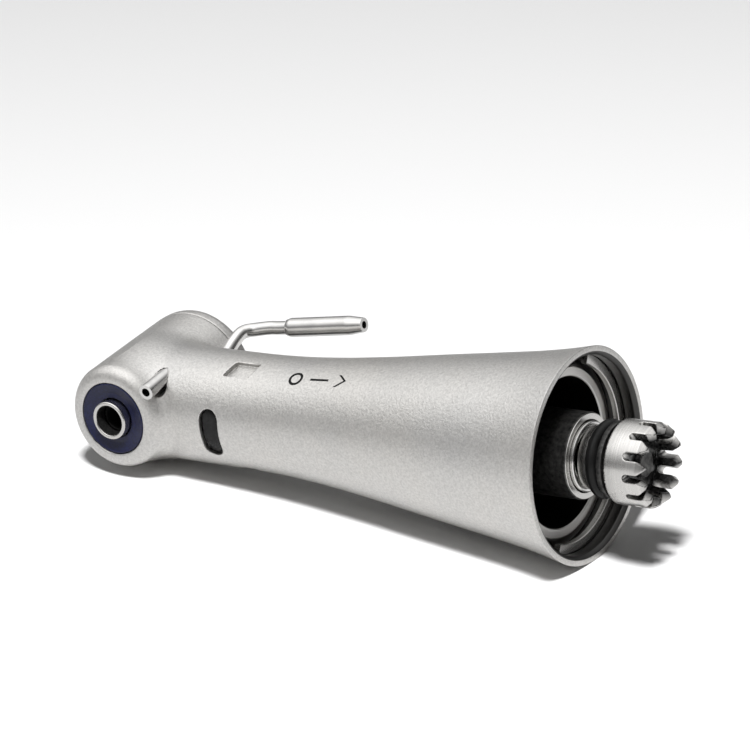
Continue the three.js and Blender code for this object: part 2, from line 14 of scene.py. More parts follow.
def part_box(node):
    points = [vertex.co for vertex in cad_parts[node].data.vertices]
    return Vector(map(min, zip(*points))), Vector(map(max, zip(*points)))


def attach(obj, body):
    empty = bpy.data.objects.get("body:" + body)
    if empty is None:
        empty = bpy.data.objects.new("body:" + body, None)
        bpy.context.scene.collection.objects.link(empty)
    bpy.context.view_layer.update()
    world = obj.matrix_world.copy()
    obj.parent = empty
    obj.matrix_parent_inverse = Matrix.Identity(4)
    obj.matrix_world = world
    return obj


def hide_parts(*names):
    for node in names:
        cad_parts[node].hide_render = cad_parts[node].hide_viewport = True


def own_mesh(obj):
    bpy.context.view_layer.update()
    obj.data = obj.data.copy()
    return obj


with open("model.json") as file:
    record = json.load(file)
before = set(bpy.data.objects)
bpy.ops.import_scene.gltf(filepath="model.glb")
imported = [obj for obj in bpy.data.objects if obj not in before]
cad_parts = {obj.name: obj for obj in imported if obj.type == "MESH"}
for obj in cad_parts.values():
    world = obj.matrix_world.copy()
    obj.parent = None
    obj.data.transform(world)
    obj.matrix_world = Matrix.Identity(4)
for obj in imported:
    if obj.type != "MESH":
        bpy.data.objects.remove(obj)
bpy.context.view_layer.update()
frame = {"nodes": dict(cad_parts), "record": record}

MM = 0.001


def low(node):
    return [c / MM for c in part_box(node)[0]]


def high(node):
    return [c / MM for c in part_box(node)[1]]


# ---- places and sizes, from the frame -------------------------------------------------------
RIM = high("body_shell")[0]
RIM_R = high("body_shell")[2]
HEAD_X = (low("head_cap")[0] + high("head_cap")[0]) / 2 - RIM
CAP_R = (high("head_cap")[0] - low("head_cap")[0]) / 2
CAP_TOP = high("head_cap")[1]
CAP_SEAM = 6.85
BUR_FACE = low("chuck_collar")[1] - 0.02
COLLAR_R = (high("chuck_collar")[0] - low("chuck_collar")[0]) / 2
SPINDLE_TIP = low("chuck_spindle")[1]
CROWN = (low("clutch_crown")[0] - RIM, high("clutch_crown")[0] - RIM)
CROWN_R = high("clutch_crown")[2]
SHAFT_END = high("input_shaft")[0] - RIM
NECK_R = 5.52
NECK_BORE = 2.95
OUTLINE = [
    (3, RIM_R + 0.68), (0, RIM_R), (-2.2, 9.5), (-5.3, 8.95), (-10.4, 8.25), (-15.6, 7.55), (-20.8, 6.8),
    (-26, 6.15), (-29.7, 5.8), (-32.6, 5.62), (-35.3, 5.54), (-38, NECK_R), (-60, NECK_R),
]
BARREL = [
    (-7.5, 5.0), (-5.6, 5.06), (-4.2, 5.22), (-1, 5.52), (2.5, 5.85), (CAP_SEAM, CAP_R),
    (8, CAP_R + 0.1),
]
WINDOW_X = (low("light_window")[0] + high("light_window")[0]) / 2 - RIM
WINDOW_TURN = math.radians(-7)
SEAM = -33
O_RING_X = (low("shaft_o_ring")[0] + high("shaft_o_ring")[0]) / 2 - RIM
POCKET_X = -35.9
POCKET_TURN = math.radians(65)
NOZZLE_TIP = (-44.2, -6.65, 3.28)
NOZZLE_END = (-44.42, -1.2, 3.95)
LINE = [
    (-44.42, -0.9, 3.98), (-44.3, 0.7, 3.85), (-43.95, 2.3, 3.4), (-43.5, 3.9, 3.1),
    (-43.2, 5.2, 3.4), (-43.07, 6.3, 4.08), (-42.97, 7.2, 4.52), (-42.7, 7.9, 4.69),
    (-41.94, 8.55, 4.73), (-40.47, 8.9, 4.94), (-39.2, 8.97, 5.05), (-36, 9.12, 5.45),
    (-31, 9.2, 6.1),
]
BARB = ((-38.35, 9.03, 5.14), (-29.6, 9.22, 6.28))


# ---- mesh helpers ---------------------------------------------------------------------------
def place(points):
    return (np.asarray(points, float).reshape(-1, 3) + (RIM, 0, 0)) * MM


def piece(name, points, faces, body, replaces=(), sharp=35):
    mesh = bpy.data.meshes.new(name)
    mesh.from_pydata(place(points).tolist(), [], [list(map(int, f)) for f in faces])
    mesh.validate()
    mesh.shade_smooth()
    mesh.set_sharp_from_angle(angle=math.radians(sharp))
    made = bpy.data.objects.new(name, mesh)
    bpy.context.scene.collection.objects.link(made)
    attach(made, body)
    if replaces:
        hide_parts(*replaces)
    return made


def smooth_curve(points, spread):
    """A function through a few (along, value) points, with its corners eased over spread."""
    points = sorted(points)
    step = 0.02
    along = np.arange(points[0][0], points[-1][0] + step, step)
    value = np.interp(along, *zip(*points))
    reach = np.arange(-3 * spread, 3 * spread + step, step)
    weight = np.exp(-0.5 * (reach / spread) ** 2)
    padded = np.interp(
        np.arange(along[0] - 3 * spread, along[-1] + 3 * spread + 2 * step, step), along, value
    )
    eased = np.convolve(padded, weight / weight.sum(), "same")
    start = int(round(3 * spread / step))
    eased = eased[start:start + len(along)]
    return lambda a: np.interp(a, along, eased)


def round_max(a, b, r):
    """Where two solids meet in a convex edge, rounded to radius r."""
    return np.minimum(np.maximum(a, b), -r) + np.hypot(np.maximum(a + r, 0), np.maximum(b + r, 0))


def blend_min(a, b, k):
    """Two solids joined by a fillet of about size k."""
    h = np.maximum(k - np.abs(a - b), 0) / k
    return np.minimum(a, b) - h * h * k / 4


def round_cut(a, tool, r):
    """A solid less a tool, with the edge of the cut rounded to radius r."""
    return round_max(a, -tool, r)


def slope(distance, p, e):
    """The gradient of a distance field at points p, by differences over e."""
    parts = []
    for axis in range(3):
        step = np.zeros(3)
        step[axis] = e
        parts.append(distance(*(p + step).T) - distance(*(p - step).T))
    return np.stack(parts, 1) / (2 * e)


def skin(distance, lowest, highest, step):
    """Points and quads of the surface where distance(x, y, z) is 0.

    Surface nets give the quads; a few Newton steps then pull the points onto the surface.
    """
    start = np.asarray(lowest, float)
    axes = [np.arange(a, b + step, step) for a, b in zip(lowest, highest)]
    grid = np.meshgrid(*axes, indexing="ij")
    field = distance(*grid)
    del grid
    inside = field < 0
    n = [s - 1 for s in inside.shape]
    count = np.zeros(n, np.int8)
    for i, j, k in itertools.product((0, 1), repeat=3):
        count += inside[i:n[0] + i, j:n[1] + j, k:n[2] + k]
    cells = np.argwhere((count > 0) & (count < 8))
    index = np.full(n, -1, np.int64)
    index[tuple(cells.T)] = np.arange(len(cells))
    total = np.zeros((len(cells), 3))
    hits = np.zeros((len(cells), 1))
    corners = list(itertools.product((0, 1), repeat=3))
    for a, b in itertools.combinations(corners, 2):
        if sum(abs(p - q) for p, q in zip(a, b)) != 1:
            continue
        fa = field[tuple((cells + a).T)]
        fb = field[tuple((cells + b).T)]
        crossing = (fa < 0) != (fb < 0)
        t = np.where(crossing, fa / np.where(crossing, fa - fb, 1), 0)[:, None]
        total += np.where(crossing[:, None], np.array(a) + t * (np.array(b) - np.array(a)), 0)
        hits += crossing[:, None]
    points = start + (cells + total / hits) * step
    for _ in range(3):
        g = slope(distance, points, step * 0.05)
        size = np.maximum((g * g).sum(1, keepdims=True), 0.05)
        move = distance(*points.T)[:, None] * g / size
        points -= np.clip(move, -0.4 * step, 0.4 * step)
    quads = []
    for axis in range(3):
        b, c = (axis + 1) % 3, (axis + 2) % 3
        nodes = [slice(None)] * 3
        nodes[axis] = slice(0, -1)
        later = list(nodes)
        later[axis] = slice(1, None)
        change = inside[tuple(nodes)] != inside[tuple(later)]
        at = np.argwhere(change)
        at = at[(at[:, b] > 0) & (at[:, c] > 0) & (at[:, b] < n[b]) & (at[:, c] < n[c])]
        ring = []
        for db, dc in ((-1, -1), (0, -1), (0, 0), (-1, 0)):
            cell = at.copy()
            cell[:, b] += db
            cell[:, c] += dc
            ring.append(index[tuple(cell.T)])
        quad = np.stack(ring, 1)
        flip = ~inside[tuple(at.T)]
        quad[flip] = quad[flip][:, ::-1]
        quads.append(quad)
    return points, np.concatenate(quads)


def eased_profile(profile, radius, closed=True):
    """An [along, radius] outline with each corner turned into a short arc."""
    profile = np.asarray(profile, float)
    out = []
    count = len(profile)
    for i, here in enumerate(profile):
        end = not closed and i in (0, count - 1)
        if here[1] < 1e-6 or end:
            out.append(here)
            continue
        before = profile[i - 1]
        after = profile[(i + 1) % count]
        reach = min(radius, 0.4 * np.linalg.norm(before - here), 0.4 * np.linalg.norm(after - here))
        a = here + (before - here) / np.linalg.norm(before - here) * reach
        b = here + (after - here) / np.linalg.norm(after - here) * reach
        for t in (0, 0.33, 0.67, 1):
            out.append((1 - t) ** 2 * a + 2 * t * (1 - t) * here + t * t * b)
    return out


def turned_mesh(profile, segments, edge):
    """Points and faces of a profile turned about the Y axis, in its own frame."""
    rows = eased_profile(profile, edge)
    area = sum(
        rows[i][1] * rows[(i + 1) % len(rows)][0] - rows[(i + 1) % len(rows)][1] * rows[i][0]
        for i in range(len(rows))
    )
    if area < 0:
        rows = rows[::-1]
    points = []
    starts = []
    for along, radius in rows:
        starts.append((len(points), radius < 1e-6))
        for s in range(1 if radius < 1e-6 else segments):
            turn = 2 * math.pi * s / segments
            points.append((radius * math.sin(turn), along, radius * math.cos(turn)))
    faces = []
    for i in range(len(rows)):
        (a, a_point), (b, b_point) = starts[i], starts[(i + 1) % len(rows)]
        if a_point and b_point:
            continue
        for s in range(segments):
            t = (s + 1) % segments
            if a_point:
                faces.append((a, b + t, b + s))
            elif b_point:
                faces.append((a + s, a + t, b))
            else:
                faces.append((a + s, a + t, b + t, b + s))
    return np.array(points), faces


def turned(name, profile, axis, body, replaces=(), edge=0.06, segments=128):
    """A turned piece. axis "x" lies on the body axis, axis "head" on the chuck axis."""
    points, faces = turned_mesh(profile, segments, edge)
    if axis == "x":
        points = np.stack([points[:, 1], points[:, 0], -points[:, 2]], 1)
    else:
        points = points + (HEAD_X, 0, 0)
    return piece(name, points, faces, body, replaces)


def frames_along(path):
    """Tangent and two steady cross directions at each point of a path."""
    ahead = np.gradient(path, axis=0)
    ahead /= np.linalg.norm(ahead, axis=1, keepdims=True)
    side = np.cross(ahead[0], (0, 0, 1))
    sides = []
    for way in ahead:
        side = side - way * (side @ way)
        side = side / np.linalg.norm(side)
        sides.append(side)
    sides = np.array(sides)
    return sides, np.cross(ahead, sides)


def tube(name, path, outer, bore, body, replaces=(), sides=40):
    """A tube along a path; outer and bore are radii, or functions of the share of the path's length."""
    path = np.asarray(path, float)
    u, v = frames_along(path)
    share = np.linspace(0, 1, len(path))
    turn = np.linspace(0, 2 * math.pi, sides, endpoint=False)
    ring = u[:, None] * np.cos(turn)[None, :, None] + v[:, None] * np.sin(turn)[None, :, None]
    radii = [r(share) if callable(r) else np.full(len(path), r) for r in (outer, bore)]
    shells = [path[:, None] + ring * r[:, None, None] for r in radii]
    points = np.concatenate([s.reshape(-1, 3) for s in shells])
    half = len(path) * sides
    faces = []
    for i in range(len(path) - 1):
        for s in range(sides):
            t = (s + 1) % sides
            a, b = i * sides, (i + 1) * sides
            faces.append((a + s, a + t, b + t, b + s))
            faces.append((half + b + s, half + b + t, half + a + t, half + a + s))
    last = (len(path) - 1) * sides
    for s in range(sides):
        t = (s + 1) % sides
        faces.append((s, half + s, half + t, t))
        faces.append((last + t, half + last + t, half + last + s, last + s))
    return piece(name, points, faces, body, replaces, sharp=50)


def curve_through(points, count):
    """A smooth path through points (Catmull-Rom), evenly numbered."""
    p = np.asarray(points, float)
    p = np.vstack([2 * p[0] - p[1], p, 2 * p[-1] - p[-2]])
    out = []
    for i in range(1, len(p) - 2):
        for t in np.linspace(0, 1, count, endpoint=False):
            a, b, c, d = p[i - 1:i + 3]
            out.append(0.5 * (2 * b + (c - a) * t + (2 * a - 5 * b + 4 * c - d) * t * t
                              + (3 * b - a - 3 * c + d) * t ** 3))
    out.append(p[-2])
    return np.array(out)


# ---- distance fields of the shell -----------------------------------------------------------
outline = smooth_curve(OUTLINE, 1.3)
rim_error = float(outline(0)) - RIM_R
barrel = smooth_curve(BARREL, 0.8)
line_path = curve_through(LINE, 6)


def capsule(x, y, z, a, b, r):
    """Distance to a round-ended rod of radius r from a to b."""
    a = np.asarray(a, float)
    way = np.asarray(b, float) - a
    dx, dy, dz = x - a[0], y - a[1], z - a[2]
    t = np.clip((dx * way[0] + dy * way[1] + dz * way[2]) / (way @ way), 0, 1)
    return np.sqrt((dx - t * way[0]) ** 2 + (dy - t * way[1]) ** 2 + (dz - t * way[2]) ** 2) - r


def window_cut(x, y, z, wide, long, floor):
    """The light window's pill shape, cut in as far as the radius floor."""
    round_way = y * math.sin(WINDOW_TURN) + z * math.cos(WINDOW_TURN)
    out = -y * math.cos(WINDOW_TURN) + z * math.sin(WINDOW_TURN)
    flat = np.hypot(x - WINDOW_X, np.maximum(np.abs(round_way) - (long - wide) / 2, 0)) - wide / 2
    return np.maximum(flat, floor - out)


def pocket_cut(x, y, z, sign):
    """The shallow slanted pocket; sign picks the side of the neck."""
    turn = sign * POCKET_TURN
    round_way = y * math.sin(turn) + z * math.cos(turn)
    out = -y * math.cos(turn) + z * math.sin(turn)
    lean = 0.29 * sign * round_way
    flat = round_max(np.abs(x - POCKET_X - lean) - 1.4, np.abs(round_way) - 0.95, 0.12)
    return np.maximum(flat, NECK_R - 0.46 - out)


def shell_outside(x, y, z):
    """The body and head as one solid, with a fillet where they meet."""
    r = np.hypot(y, z)
    body = (r - outline(x) + rim_error) * 0.985
    body = round_max(body, x, 0.1)
    body = np.maximum(body, HEAD_X - x)
    across = np.hypot(x - HEAD_X, z)
    head = round_max((across - barrel(y)) * 0.995, BUR_FACE - y, 1.15)
    head = round_max(head, y - CAP_SEAM, 0.09)
    return blend_min(body, head, 1.3)


def shell(x, y, z):
    """The head and neck, up to the seam with the turned tail."""
    d = shell_outside(x, y, z)
    across = np.hypot(x - HEAD_X, z)
    neck = np.maximum(np.hypot(y, z) - NECK_BORE, HEAD_X - x)
    well = np.maximum(across - COLLAR_R - 0.05, y + 5.3)
    d = round_cut(np.maximum(d, -neck), well, 0.14)
    seat = np.maximum(across - 3.5, y + 3.6)
    cavity = np.maximum(across - 4.3, -3.6 - y)
    d = np.maximum(d, -np.minimum(seat, cavity))
    near = (np.abs(x + 38) < 5) & (np.hypot(y, z) > 3)
    if near.any():
        p = x[near], y[near], z[near]
        part = round_cut(d[near], window_cut(*p, 2.1, 4.8, 3.7), 0.1)
        for sign in (1, -1):
            part = round_cut(part, pocket_cut(*p, sign), 0.07)
        d[near] = part
    near = (np.abs(x + 43.7) < 3) & (z > 0.6) & (np.abs(y) < 8)
    if near.any():
        p = x[near], y[near], z[near]
        tunnel = capsule(*p, NOZZLE_TIP, NOZZLE_END, 0.775)
        for a, b in zip(line_path[:-2:2], line_path[2::2]):
            if a[1] < 7.4:
                tunnel = np.minimum(tunnel, capsule(*p, a, b, 0.68))
        beside = capsule(*p, (-43.6, -6.3, 2.75), (-44.15, -4.1, 3.25), 0.62)
        d[near] = round_cut(round_cut(d[near], beside, 0.1), tunnel, 0.05)
    return d


def tail_rows():
    """The turned tail's outline: out along its outside, round the rim and back through the socket."""
    along = np.arange(SEAM + 0.25, -0.3, 0.4)
    outside = [(a, float(outline(a)) - rim_error) for a in along]
    inside = [
        (-0.22, float(outline(-0.22)) - rim_error), (0, RIM_R), (0, 9.4), (-0.35, 9.1), (-1.35, 9.1),
        (-1.35, 9.25), (-2.25, 9.25), (-2.25, 9.1), (-3.2, 8.9), (-3.2, 7.35), (-13, 7.35), (-13, 4.35),
        (-24.5, 4.35), (-24.5, NECK_BORE), (SEAM + 0.25, NECK_BORE),
    ]
    return outside + [tuple(p) for p in eased_profile(inside, 0.08, closed=False)]


def stitched(first, second, angle):
    """Triangles between two rings of point numbers, each in order of angle."""
    faces = []
    i = j = 0
    n, m = len(first), len(second)
    while i < n or j < m:
        a, b = first[i % n], second[j % m]
        next_a = angle[first[(i + 1) % n]] + (2 * math.pi if i + 1 >= n else 0)
        next_b = angle[second[(j + 1) % m]] + (2 * math.pi if j + 1 >= m else 0)
        if j >= m or (i < n and next_a <= next_b):
            faces.append((a, first[(i + 1) % n], b))
            i += 1
        else:
            faces.append((a, second[(j + 1) % m], b))
            j += 1
    return faces


def open_rings(points, quads, step):
    """Point numbers of the outer and inner open edges at the seam, each in order of angle."""
    sides = [quads[:, [i, (i + 1) % 4]] for i in range(4)]
    edges = np.sort(np.concatenate(sides), 1)
    found, count = np.unique(edges, axis=0, return_counts=True)
    edge = np.unique(found[count == 1])
    edge = edge[points[edge, 0] > SEAM - 1.5 * step]
    radius = np.hypot(points[edge, 1], points[edge, 2])
    rings = []
    for ring, r in ((edge[radius > 4], float(outline(SEAM)) - rim_error), (edge[radius <= 4], NECK_BORE)):
        turn = np.mod(np.arctan2(points[ring, 2], points[ring, 1]), 2 * math.pi)
        points[ring] = np.stack([np.full(len(ring), SEAM), r * np.cos(turn), r * np.sin(turn)], 1)
        rings.append(ring[np.argsort(turn)])
    return rings


def make_shell():
    """The head and neck from the distance field, with the turned tail stitched on at the seam."""
    step = 0.1
    reach = CAP_R + 0.4
    far = SEAM - step * math.ceil((SEAM - HEAD_X + reach) / step)
    lowest = (far, BUR_FACE - 0.3, -reach)
    highest = (SEAM - step / 2, CAP_SEAM + 0.3, reach)
    points, quads = skin(shell, lowest, highest, step)
    outer, inner = open_rings(points, quads, step)
    segments = 200
    rows = tail_rows()
    turns = np.linspace(0, 2 * math.pi, segments, endpoint=False)
    tail = np.array([(x, r * math.cos(t), r * math.sin(t)) for x, r in rows for t in turns])
    start = len(points)
    faces = [tuple(q) for q in quads]
    for i in range(len(rows) - 1):
        for k in range(segments):
            a = start + i * segments + k
            b = start + i * segments + (k + 1) % segments
            faces.append((a, b, b + segments, a + segments))
    points = np.concatenate([points, tail])
    angle = np.mod(np.arctan2(points[:, 2], points[:, 1]), 2 * math.pi)
    angle[start:] = np.tile(turns, len(rows))
    first = list(range(start, start + segments))
    last = list(range(len(points) - segments, len(points)))
    faces += stitched(list(outer), first, angle) + stitched(last, list(inner), angle)
    return piece("housing_shell", points, faces, "housing", ["body_shell"], sharp=40)


# ---- clutch ---------------------------------------------------------------------------------
def crown_distance(x, y, z):
    """The clutch crown: a cup with twelve slots that end in pointed teeth."""
    r = np.hypot(y, z)
    teeth = 12
    pitch = 2 * math.pi / teeth
    turn = np.mod(np.arctan2(z, y) + pitch / 2, pitch) - pitch / 2
    across = np.abs(r * np.sin(turn))
    start, end = CROWN
    outer = np.minimum(CROWN_R - 0.02, CROWN_R - 0.02 - (x - end + 0.75) * 0.55)
    outer = np.minimum(outer, CROWN_R - 0.35 + (x - start) * 1.2)
    d = round_max(r - outer, np.maximum(start + 0.02 - x, x - end + 0.02), 0.08)
    inner = 2.62 + np.maximum(x - 6.2, 0) * 0.16
    d = round_cut(d, np.maximum(r - inner, 5.6 - x), 0.07)
    d = np.maximum(d, 1.27 - r)
    half = 0.37 + np.maximum(x - end + 0.62, 0) * 0.62
    straight = across - half
    bottom = np.hypot(x - 6.12, across) - 0.37
    slot = np.where(x > 6.12, straight, bottom)
    return round_cut(d, np.maximum(slot, 2.2 - r), 0.07)


def make_crown():
    step = 0.07
    reach = CROWN_R + 0.2
    lowest = (CROWN[0] - 0.2, -reach, -reach)
    highest = (CROWN[1] + 0.2, reach, reach)
    points, quads = skin(crown_distance, lowest, highest, step)
    return piece("clutch_teeth", points, quads, "input", ["clutch_crown"], sharp=38)


def arc_ring(name, x0, x1, inner, outer, start, end, body, replaces):
    """An open ring of rectangular section, between two angles from +Y towards +Z."""
    e = 0.06
    section = [
        (x0 + e, inner), (x0, inner + e), (x0, outer - e), (x0 + e, outer),
        (x1 - e, outer), (x1, outer - e), (x1, inner + e), (x1 - e, inner),
    ]
    turns = np.linspace(start, end, 96)
    points = [(x, r * math.cos(t), r * math.sin(t)) for t in turns for x, r in section]
    n = len(section)
    faces = [tuple(range(n)), tuple(reversed(range((len(turns) - 1) * n, len(turns) * n)))]
    for i in range(len(turns) - 1):
        for s in range(n):
            t = (s + 1) % n
            faces.append((i * n + s, (i + 1) * n + s, (i + 1) * n + t, i * n + t))
    return piece(name, points, faces, body, replaces)


# ---- side mark ------------------------------------------------------------------------------
def slab_on_side(name, grid_of, rows, columns, body):
    """A thin closed patch on the body's side. grid_of(u, v) gives (along, round the body) in mm."""
    turn0 = math.radians(60)
    layers = []
    for lift in (-0.04, 0.012):
        layer = []
        for i in range(rows + 1):
            for j in range(columns + 1):
                along, round_way = grid_of(i / rows, j / columns)
                r = float(outline(along)) - rim_error + lift
                t = turn0 + round_way / r
                layer.append((along, -r * math.cos(t), r * math.sin(t)))
        layers.append(layer)
    points = layers[0] + layers[1]
    w = columns + 1
    top = len(layers[0])
    faces = []
    for i in range(rows):
        for j in range(columns):
            a = i * w + j
            faces.append((a, a + 1, a + w + 1, a + w))
            faces.append((top + a + w, top + a + w + 1, top + a + 1, top + a))
    border = [j for j in range(columns)] + [i * w + columns for i in range(rows)]
    border += [rows * w + j for j in range(columns, 0, -1)] + [i * w for i in range(rows, 0, -1)]
    for a, b in zip(border, border[1:] + border[:1]):
        faces.append((b, a, top + a, top + b))
    return piece(name, points, faces, body, sharp=60)


def make_mark():
    """Three plain shapes in place of a printed ratio: a ring in two halves, a dash and a chevron."""
    marks = []
    for half in (0, 1):
        def ring(u, v, half=half):
            t = math.pi * (u + half)
            r = 0.5 + 0.26 * v
            return -29.3 + r * math.cos(t), r * math.sin(t)
        marks.append(slab_on_side(f"side_mark_ring_{half + 1}", ring, 24, 2, "housing"))
    marks.append(slab_on_side(
        "side_mark_dash", lambda u, v: (-27.6 + 2.1 * u, -0.12 + 0.24 * v), 14, 2, "housing"))
    for sign in (1, -1):
        def stroke(u, v, sign=sign):
            return -24.6 + 0.9 * u + 0.3 * v, sign * 0.72 * (1 - u)
        marks.append(slab_on_side(f"side_mark_chevron_{1 if sign > 0 else 2}", stroke, 10, 2, "housing"))
    return marks


# ---- materials ------------------------------------------------------------------------------
class Nodes:
    """A material's node tree, with short calls to add and link nodes."""

    def __init__(self, name):
        self.material = bpy.data.materials.new(name)
        self.material.use_nodes = True
        self.tree = self.material.node_tree
        self.shader = self.tree.nodes["Principled BSDF"]
        self.coords = self.tree.nodes.new("ShaderNodeTexCoord").outputs["Object"]

    def add(self, kind, **values):
        node = self.tree.nodes.new(kind)
        for key, value in values.items():
            if key in node.inputs:
                node.inputs[key].default_value = value
            else:
                setattr(node, key, value)
        return node

    def link(self, a, b):
        self.tree.links.new(a, b)

    def noise(self, scale, detail=3.0, rough=0.55, vector=None):
        node = self.add("ShaderNodeTexNoise", Scale=scale, Detail=detail, Roughness=rough)
        self.link(vector or self.coords, node.inputs["Vector"])
        return node.outputs["Fac"]

    def stretched(self, scale):
        node = self.add("ShaderNodeMapping", Scale=scale)
        self.link(self.coords, node.inputs["Vector"])
        return node.outputs["Vector"]

    def ramp(self, source, stops):
        node = self.tree.nodes.new("ShaderNodeValToRGB")
        node.color_ramp.elements[0].position, node.color_ramp.elements[0].color = stops[0]
        node.color_ramp.elements[1].position, node.color_ramp.elements[1].color = stops[-1]
        for at, colour in stops[1:-1]:
            node.color_ramp.elements.new(at).color = colour
        self.link(source, node.inputs["Fac"])
        return node.outputs["Color"]

    def spread(self, source, lowest, highest):
        node = self.add("ShaderNodeMapRange")
        node.inputs["To Min"].default_value = lowest
        node.inputs["To Max"].default_value = highest
        self.link(source, node.inputs["Value"])
        return node.outputs["Result"]

    def bump(self, source, strength, distance):
        node = self.add("ShaderNodeBump", Strength=strength, Distance=distance)
        self.link(source, node.inputs["Height"])
        self.link(node.outputs["Normal"], self.shader.inputs["Normal"])

    def give(self, name, source):
        self.link(source, self.shader.inputs[name])

    def set(self, **values):
        for name, value in values.items():
            self.shader.inputs[name.replace("_", " ")].default_value = value


def grey(value, warm=0.0):
    return (value * (1 + warm), value, value * (1 - 1.6 * warm), 1)


def blasted_steel():
    m = Nodes("blasted_steel")
    m.set(Metallic=1.0)
    broad = m.noise(90, 2)
    tone = m.ramp(broad, [(0.3, grey(0.65, 0.012)), (0.7, grey(0.69, 0.024))])
    grain = m.noise(4200, 4, 0.7)
    speckle = m.add("ShaderNodeMix", data_type="RGBA", blend_type="MULTIPLY")
    speckle.inputs["Factor"].default_value = 1
    m.link(tone, speckle.inputs["A"])
    m.link(m.ramp(grain, [(0.36, grey(0.78)), (0.64, grey(1.0))]), speckle.inputs["B"])
    m.give("Base Color", speckle.outputs["Result"])
    m.give("Roughness", m.spread(grain, 0.30, 0.46))
    m.bump(grain, 1.0, 0.00005)
    return m.material


def polished_steel():
    m = Nodes("polished_steel")
    m.set(Metallic=1.0)
    tone = m.noise(600, 3)
    m.give("Base Color", m.ramp(tone, [(0.3, grey(0.62, 0.01)), (0.75, grey(0.74, 0.015))]))
    m.give("Roughness", m.spread(m.noise(4000, 3), 0.12, 0.26))
    m.bump(m.noise(5000, 2), 0.08, 0.00001)
    return m.material


def turned_steel(name, axis, base, rough):
    """Steel with fine tool lines round one axis."""
    m = Nodes(name)
    m.set(Metallic=1.0)
    scale = [60.0, 60.0, 60.0]
    scale[axis] = 9000.0
    lines = m.noise(1.0, 4, 0.7, m.stretched(scale))
    m.give("Base Color", m.ramp(lines, [(0.3, grey(base * 0.82, 0.015)), (0.7, grey(base, 0.02))]))
    m.give("Roughness", m.spread(m.noise(700, 3), rough * 0.8, rough * 1.3))
    m.bump(lines, 0.22, 0.00002)
    return m.material


def steel_with_painted_bore_shade():
    """Bright turned steel outside; painted shade inside the bore, where the colour darkens towards the
    axis.
    """
    m = Nodes("steel_with_painted_bore_shade")
    m.set(Metallic=1.0)
    split = m.add("ShaderNodeSeparateXYZ")
    m.link(m.coords, split.inputs[0])
    flat = m.add("ShaderNodeCombineXYZ")
    m.link(split.outputs["Y"], flat.inputs["Y"])
    m.link(split.outputs["Z"], flat.inputs["Z"])
    radius = m.add("ShaderNodeVectorMath", operation="LENGTH")
    m.link(flat.outputs[0], radius.inputs[0])
    bore_shade_fade = m.add("ShaderNodeMapRange")
    bore_shade_fade.inputs["From Min"].default_value = 2.95 * MM
    bore_shade_fade.inputs["From Max"].default_value = 3.7 * MM
    m.link(radius.outputs["Value"], bore_shade_fade.inputs["Value"])
    scale = [9000.0, 60.0, 60.0]
    lines = m.noise(1.0, 4, 0.7, m.stretched(scale))
    bright = m.ramp(lines, [(0.3, grey(0.54, 0.015)), (0.7, grey(0.68, 0.02))])
    # painted shade: near-black colour for the faces nearest the axis
    dark = m.ramp(m.noise(2500, 4), [(0.35, grey(0.035)), (0.75, grey(0.16, 0.01))])
    mix = m.add("ShaderNodeMix", data_type="RGBA")
    m.link(bore_shade_fade.outputs["Result"], mix.inputs["Factor"])
    m.link(dark, mix.inputs["A"])
    m.link(bright, mix.inputs["B"])
    m.give("Base Color", mix.outputs["Result"])
    m.give("Roughness", m.spread(m.noise(700, 3), 0.2, 0.34))
    m.bump(lines, 0.25, 0.00002)
    return m.material


def dark_steel():
    m = Nodes("dark_steel")
    m.set(Metallic=0.9)
    m.give("Base Color", m.ramp(m.noise(2500, 4), [(0.3, grey(0.03)), (0.8, grey(0.14, 0.02))]))
    m.give("Roughness", m.spread(m.noise(3000, 3), 0.34, 0.5))
    m.bump(m.noise(6000, 2), 0.2, 0.00002)
    return m.material


def bronze():
    m = Nodes("bronze")
    m.set(Metallic=1.0)
    stops = [(0.3, (0.30, 0.19, 0.12, 1)), (0.8, (0.48, 0.33, 0.22, 1))]
    m.give("Base Color", m.ramp(m.noise(500, 3), stops))
    m.give("Roughness", m.spread(m.noise(2500, 3), 0.25, 0.5))
    m.bump(m.noise(4000, 2), 0.15, 0.00002)
    return m.material


def black_rubber():
    m = Nodes("black_rubber")
    m.give("Base Color", m.ramp(m.noise(800, 3), [(0.3, grey(0.003)), (0.8, grey(0.009))]))
    m.shader.inputs["Specular IOR Level"].default_value = 0.2
    m.give("Roughness", m.spread(m.noise(3000, 3), 0.28, 0.5))
    m.bump(m.noise(5000, 2), 0.15, 0.00002)
    return m.material


def navy_collar():
    m = Nodes("navy_collar")
    m.set(Metallic=0.15)
    grain = m.noise(5200, 3, 0.7)
    stops = [(0.3, (0.0015, 0.002, 0.013, 1)), (0.75, (0.008, 0.011, 0.055, 1))]
    m.give("Base Color", m.ramp(grain, stops))
    m.give("Roughness", m.spread(m.noise(3000, 3), 0.38, 0.55))
    m.bump(grain, 0.25, 0.00002)
    return m.material


def light_glass():
    m = Nodes("light_glass")
    m.give("Base Color", m.ramp(m.noise(1500, 3), [(0.35, grey(0.006)), (0.8, grey(0.02))]))
    m.give("Roughness", m.spread(m.noise(2500, 3), 0.1, 0.3))
    m.shader.inputs["Specular IOR Level"].default_value = 0.15
    m.bump(m.noise(900, 2), 0.1, 0.00003)
    return m.material


def matt_black(name):
    m = Nodes(name)
    m.give("Base Color", m.ramp(m.noise(6000, 2), [(0.3, grey(0.004)), (0.8, grey(0.02))]))
    m.set(Roughness=0.6)
    m.shader.inputs["Specular IOR Level"].default_value = 0.08
    m.bump(m.noise(8000, 2), 0.1, 0.00001)
    return m.material


